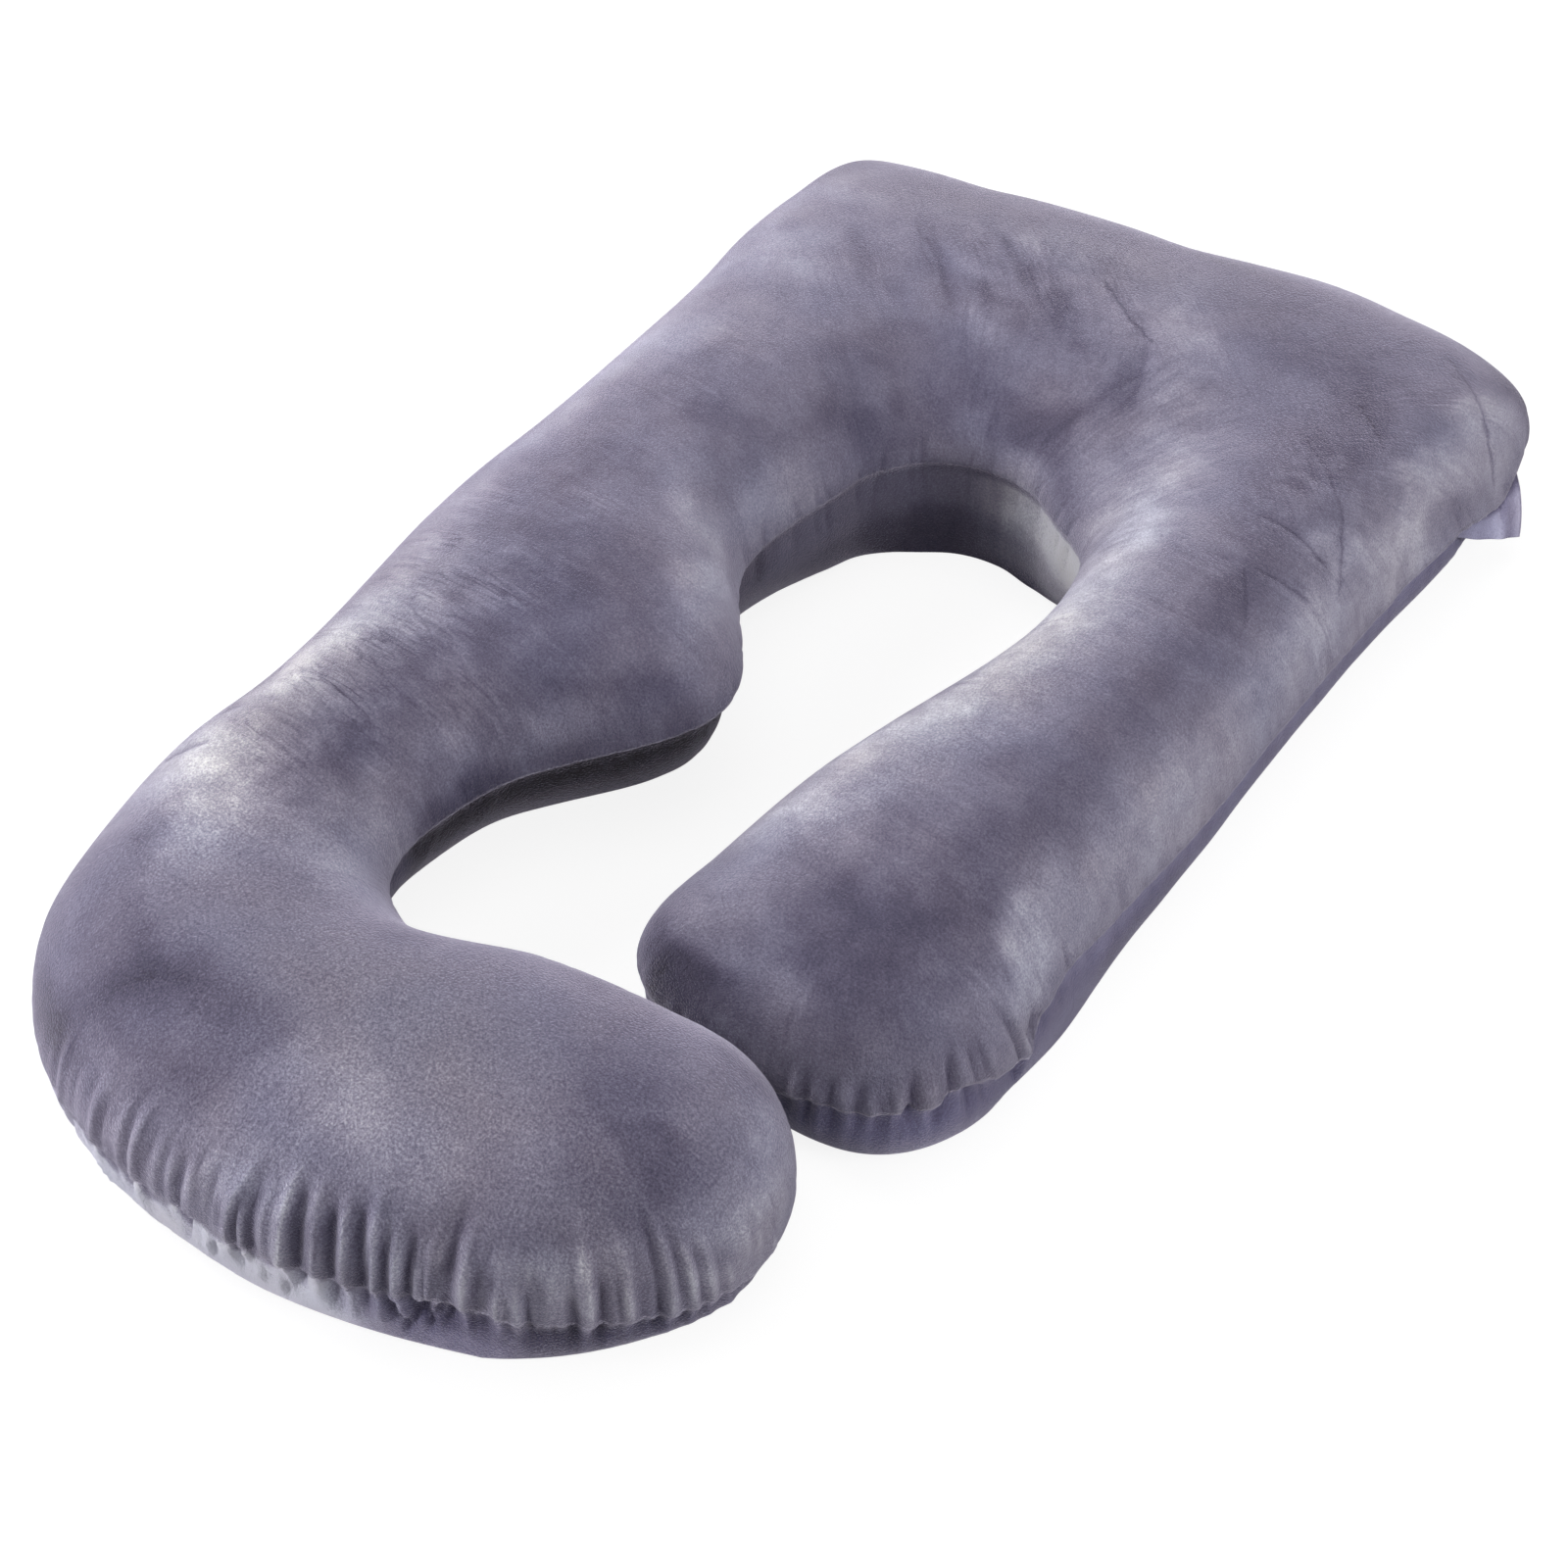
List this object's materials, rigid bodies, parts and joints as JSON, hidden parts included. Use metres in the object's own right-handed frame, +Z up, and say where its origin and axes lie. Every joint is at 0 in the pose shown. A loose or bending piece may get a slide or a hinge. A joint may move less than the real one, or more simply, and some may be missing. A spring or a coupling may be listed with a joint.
{
  "type": "pregnancy pillow",
  "caption": "Full body pillow bent round like a letter G, with a round head hollow, a belly bump, a straight leg and a hooked end, in a plush cover.",
  "frame": {"origin": "middle of the whole outline, on the surface the pillow lies on", "axes": "+Y along the pillow towards the head end, +X towards the straight leg, +Z up"},
  "size_m": [0.7451, 1.3059, 0.1856],
  "materials": {
    "plush_cover": "short-pile grey-purple plush with a soft sheen"
  },
  "bodies": {
    "root": {"pillow": "plush_cover", "corner_flap": "plush_cover"}
  },
  "joints": []
}
